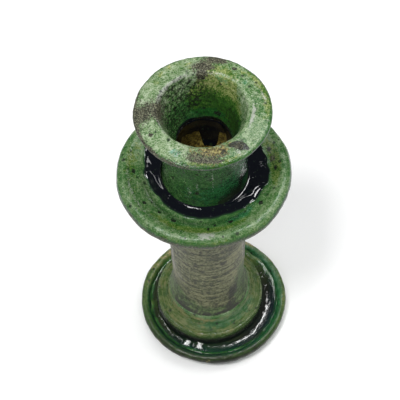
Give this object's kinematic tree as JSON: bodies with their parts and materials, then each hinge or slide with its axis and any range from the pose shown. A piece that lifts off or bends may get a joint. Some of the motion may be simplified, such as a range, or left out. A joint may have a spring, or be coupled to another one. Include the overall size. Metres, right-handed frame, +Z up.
{
  "type": "candlestick",
  "caption": "Hand-thrown glazed earthenware candlestick: saucer foot, bell, hollow column, round drip pan and a flared candle cup with a wide flat rim.",
  "frame": {"origin": "on the resting plane, below the axis of the column", "axes": "+Z up along the column; -Y is the front; the saucer foot stands a little off centre towards +X"},
  "size_m": [0.0981, 0.098, 0.2129],
  "materials": {
    "green_glaze": "glossy mottled copper-green glaze on earthenware",
    "matt_glaze": "thin dry grey-green glaze over clay",
    "dark_glaze": "thick glassy blue-black pooled glaze",
    "slip_clay": "bare fired ochre clay"
  },
  "bodies": {
    "root": {"foot_saucer": "green_glaze", "saucer_glaze_pool": "dark_glaze", "bell_slip_joint": "slip_clay", "bell_base": "green_glaze", "column_slip_joint": "slip_clay", "stem_column": "matt_glaze", "pan_slip_joint": "slip_clay", "drip_pan": "green_glaze", "pan_glaze_pool": "dark_glaze", "cup_slip_joint": "slip_clay", "candle_cup": "green_glaze", "cup_glaze_lining": "dark_glaze"}
  },
  "joints": []
}
